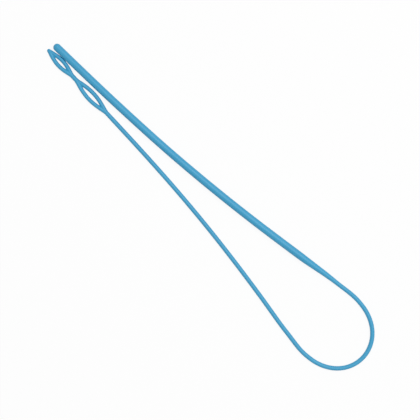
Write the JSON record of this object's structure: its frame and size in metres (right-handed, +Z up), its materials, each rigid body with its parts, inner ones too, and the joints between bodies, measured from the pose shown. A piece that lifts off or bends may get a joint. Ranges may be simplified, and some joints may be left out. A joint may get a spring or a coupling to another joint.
{
  "type": "ribbon threader",
  "caption": "Long flexible blunt needle with a thick rod, a thin stem and slender eyes before a rounded nose, bent double; pulls ribbon, cord or elastic through a casing.",
  "frame": {"origin": "under the middle of the tool, on the surface that it lies on", "axes": "+Z up; +X from the two free ends towards the bend, along the folded tool; the thick rod is on the +Y side"},
  "size_m": [0.1322, 0.0238, 0.0022],
  "materials": {
    "blue_polyethylene": "satin, as moulded"
  },
  "bodies": {
    "rod_1": {"rod_1": "blue_polyethylene"},
    "rod_2": {"rod_2": "blue_polyethylene"},
    "rod_3": {"rod_3": "blue_polyethylene"},
    "rod_4": {"rod_4": "blue_polyethylene"},
    "taper": {"taper": "blue_polyethylene"},
    "bend_01": {"bend_01": "blue_polyethylene"},
    "bend_02": {"bend_02": "blue_polyethylene"},
    "bend_03": {"bend_03": "blue_polyethylene"},
    "bend_04": {"bend_04": "blue_polyethylene"},
    "bend_05": {"bend_05": "blue_polyethylene"},
    "bend_06": {"bend_06": "blue_polyethylene"},
    "bend_07": {"bend_07": "blue_polyethylene"},
    "bend_08": {"bend_08": "blue_polyethylene"},
    "bend_09": {"bend_09": "blue_polyethylene"},
    "bend_10": {"bend_10": "blue_polyethylene"},
    "bend_11": {"bend_11": "blue_polyethylene"},
    "bend_12": {"bend_12": "blue_polyethylene"},
    "bend_13": {"bend_13": "blue_polyethylene"},
    "bend_14": {"bend_14": "blue_polyethylene"},
    "bend_15": {"bend_15": "blue_polyethylene"},
    "bend_16": {"bend_16": "blue_polyethylene"},
    "stem_1": {"stem_1": "blue_polyethylene"},
    "stem_2": {"stem_2": "blue_polyethylene"},
    "stem_3": {"stem_3": "blue_polyethylene"},
    "stem_4": {"stem_4": "blue_polyethylene"},
    "stem_5": {"stem_5": "blue_polyethylene"},
    "stem_6": {"stem_6": "blue_polyethylene"},
    "rear_eye": {"rear_eye": "blue_polyethylene"},
    "front_eye": {"front_eye": "blue_polyethylene"}
  },
  "joints": [
    {"name": "rod_2_flex", "type": "hinge", "parent": "rod_1", "child": "rod_2", "pos_m": [-0.04037, 0.00346, 0.00112], "axis": [0, 0, 1], "range_deg": [0, 5], "stiffness_Nm_per_rad": 0.013},
    {"name": "rod_3_flex", "type": "hinge", "parent": "rod_2", "child": "rod_3", "pos_m": [-0.01633, 0.00427, 0.00112], "axis": [0, 0, 1], "range_deg": [0, 5], "stiffness_Nm_per_rad": 0.013},
    {"name": "rod_4_flex", "type": "hinge", "parent": "rod_3", "child": "rod_4", "pos_m": [0.00764, 0.00614, 0.00112], "axis": [0, 0, 1], "range_deg": [0, 5], "stiffness_Nm_per_rad": 0.013},
    {"name": "taper_flex", "type": "hinge", "parent": "rod_4", "child": "taper", "pos_m": [0.03153, 0.00894, 0.00112], "axis": [0, 0, 1], "range_deg": [0, 5], "stiffness_Nm_per_rad": 0.017},
    {"name": "bend_01_opening", "type": "hinge", "parent": "taper", "child": "bend_01", "pos_m": [0.04441, 0.01066, 0.00065], "axis": [0, 0, 1], "range_deg": [0, 4.06], "stiffness_Nm_per_rad": 0.0032},
    {"name": "bend_02_opening", "type": "hinge", "parent": "bend_01", "child": "bend_02", "pos_m": [0.05321, 0.01121, 0.00065], "axis": [0, 0, 1], "range_deg": [0, 14.07], "stiffness_Nm_per_rad": 0.0056},
    {"name": "bend_03_opening", "type": "hinge", "parent": "bend_02", "child": "bend_03", "pos_m": [0.05694, 0.01051, 0.00065], "axis": [0, 0, 1], "range_deg": [0, 12.51], "stiffness_Nm_per_rad": 0.01},
    {"name": "bend_04_opening", "type": "hinge", "parent": "bend_03", "child": "bend_04", "pos_m": [0.05971, 0.00933, 0.00065], "axis": [0, 0, 1], "range_deg": [0, 12.43], "stiffness_Nm_per_rad": 0.012},
    {"name": "bend_05_opening", "type": "hinge", "parent": "bend_04", "child": "bend_05", "pos_m": [0.06186, 0.0078, 0.00065], "axis": [0, 0, 1], "range_deg": [0, 12.4], "stiffness_Nm_per_rad": 0.014},
    {"name": "bend_06_opening", "type": "hinge", "parent": "bend_05", "child": "bend_06", "pos_m": [0.06349, 0.006, 0.00065], "axis": [0, 0, 1], "range_deg": [0, 12.39], "stiffness_Nm_per_rad": 0.015},
    {"name": "bend_07_opening", "type": "hinge", "parent": "bend_06", "child": "bend_07", "pos_m": [0.06463, 0.004, 0.00065], "axis": [0, 0, 1], "range_deg": [0, 12.38], "stiffness_Nm_per_rad": 0.016},
    {"name": "bend_08_opening", "type": "hinge", "parent": "bend_07", "child": "bend_08", "pos_m": [0.0653, 0.00188, 0.00065], "axis": [0, 0, 1], "range_deg": [0, 12.38], "stiffness_Nm_per_rad": 0.016},
    {"name": "bend_09_opening", "type": "hinge", "parent": "bend_08", "child": "bend_09", "pos_m": [0.06549, -0.00029, 0.00065], "axis": [0, 0, 1], "range_deg": [0, 12.38], "stiffness_Nm_per_rad": 0.016},
    {"name": "bend_10_opening", "type": "hinge", "parent": "bend_09", "child": "bend_10", "pos_m": [0.06521, -0.00246, 0.00065], "axis": [0, 0, 1], "range_deg": [0, 12.38], "stiffness_Nm_per_rad": 0.016},
    {"name": "bend_11_opening", "type": "hinge", "parent": "bend_10", "child": "bend_11", "pos_m": [0.06445, -0.00455, 0.00065], "axis": [0, 0, 1], "range_deg": [0, 12.38], "stiffness_Nm_per_rad": 0.016},
    {"name": "bend_12_opening", "type": "hinge", "parent": "bend_11", "child": "bend_12", "pos_m": [0.06323, -0.0065, 0.00065], "axis": [0, 0, 1], "range_deg": [0, 12.39], "stiffness_Nm_per_rad": 0.015},
    {"name": "bend_13_opening", "type": "hinge", "parent": "bend_12", "child": "bend_13", "pos_m": [0.06153, -0.00823, 0.00065], "axis": [0, 0, 1], "range_deg": [0, 12.4], "stiffness_Nm_per_rad": 0.014},
    {"name": "bend_14_opening", "type": "hinge", "parent": "bend_13", "child": "bend_14", "pos_m": [0.05931, -0.00967, 0.00065], "axis": [0, 0, 1], "range_deg": [0, 12.43], "stiffness_Nm_per_rad": 0.012},
    {"name": "bend_15_opening", "type": "hinge", "parent": "bend_14", "child": "bend_15", "pos_m": [0.05649, -0.01073, 0.00065], "axis": [0, 0, 1], "range_deg": [0, 12.51], "stiffness_Nm_per_rad": 0.01},
    {"name": "bend_16_opening", "type": "hinge", "parent": "bend_15", "child": "bend_16", "pos_m": [0.05274, -0.01127, 0.00065], "axis": [0, 0, 1], "range_deg": [0, 14.07], "stiffness_Nm_per_rad": 0.0056},
    {"name": "stem_1_flex", "type": "hinge", "parent": "bend_16", "child": "stem_1", "pos_m": [0.04397, -0.01035, 0.00065], "axis": [0, 0, 1], "range_deg": [0, 8], "stiffness_Nm_per_rad": 0.0031},
    {"name": "stem_2_lift", "type": "hinge", "parent": "stem_1", "child": "stem_2", "pos_m": [0.03072, -0.00803, 0.00065], "axis": [0.1683, 0.9857, 0], "range_deg": [0, 20], "stiffness_Nm_per_rad": 0.0026},
    {"name": "stem_3_flex", "type": "hinge", "parent": "stem_2", "child": "stem_3", "pos_m": [0.01745, -0.00588, 0.00065], "axis": [0.0001, 0.001, 1], "range_deg": [0, 8], "stiffness_Nm_per_rad": 0.0026},
    {"name": "stem_4_lift", "type": "hinge", "parent": "stem_3", "child": "stem_4", "pos_m": [0.00412, -0.00407, 0.00065], "axis": [0.1208, 0.9927, 0], "range_deg": [0, 20], "stiffness_Nm_per_rad": 0.0026},
    {"name": "stem_5_flex", "type": "hinge", "parent": "stem_4", "child": "stem_5", "pos_m": [-0.00925, -0.00264, 0.00065], "axis": [0.0001, 0.001, 1], "range_deg": [0, 8], "stiffness_Nm_per_rad": 0.0026},
    {"name": "stem_6_lift", "type": "hinge", "parent": "stem_5", "child": "stem_6", "pos_m": [-0.02266, -0.00157, 0.00065], "axis": [0.0686, 0.9976, 0], "range_deg": [0, 20], "stiffness_Nm_per_rad": 0.0026},
    {"name": "head_swing", "type": "hinge", "parent": "stem_6", "child": "rear_eye", "pos_m": [-0.03608, -0.00074, 0.00065], "axis": [0.0001, 0.001, 1], "range_deg": [0, 25], "stiffness_Nm_per_rad": 0.0039},
    {"name": "nose_lift", "type": "hinge", "parent": "rear_eye", "child": "front_eye", "pos_m": [-0.05455, 0.00031, 0.00065], "axis": [0.0567, 0.9984, 0], "range_deg": [0, 20], "stiffness_Nm_per_rad": 0.0088}
  ]
}
